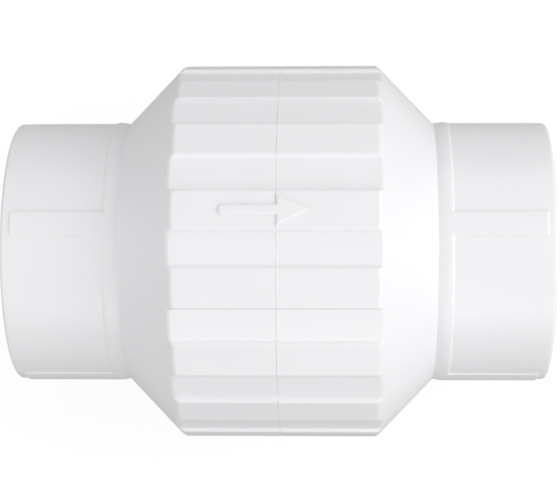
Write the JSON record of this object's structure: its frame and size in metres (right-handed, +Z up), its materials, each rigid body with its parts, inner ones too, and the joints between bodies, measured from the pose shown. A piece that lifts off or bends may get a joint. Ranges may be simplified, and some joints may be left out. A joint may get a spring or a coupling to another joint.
{
  "type": "non-return valve",
  "caption": "Spring-loaded in-line non-return valve in white plastic, with a ribbed body, a flow arrow and a plain pipe socket at each end.",
  "frame": {"origin": "on the flow axis, in the plane where the two body halves join", "axes": "+X along the flow, out of the outlet; +Z up through the pad that carries the flow arrow"},
  "size_m": [0.1198, 0.0846, 0.0851],
  "materials": {
    "white_pvc": "satin moulded white PVC",
    "white_pvc_outlet": "satin moulded white PVC",
    "inner_pvc": "plain moulded white PVC",
    "poppet_pvc": "plain moulded grey PVC",
    "bush_plastic": "smooth turned acetal",
    "seal_rubber": "smooth black rubber",
    "stem_steel": "ground stainless steel",
    "spring_steel": "drawn stainless wire",
    "washer_steel": "stamped stainless steel",
    "screw_steel": "machined stainless steel"
  },
  "bodies": {
    "housing": {"inlet_body": "white_pvc", "outlet_body": "white_pvc_outlet", "guide_spider": "inner_pvc", "stem_bush": "bush_plastic", "spring_washer": "washer_steel", "closing_spring": "spring_steel"},
    "poppet": {"poppet_disc": "poppet_pvc", "guide_stem": "stem_steel", "seal_ring": "seal_rubber", "seal_retainer": "poppet_pvc", "screw_washer": "washer_steel", "retainer_screw": "screw_steel"}
  },
  "joints": [
    {"name": "poppet_lift", "type": "slide", "parent": "housing", "child": "poppet", "axis": [1, 0, 0], "range_m": [0, 0.01], "stiffness_N_per_m": 510, "springref_m": -0.0088, "deforming": ["closing_spring"]}
  ]
}
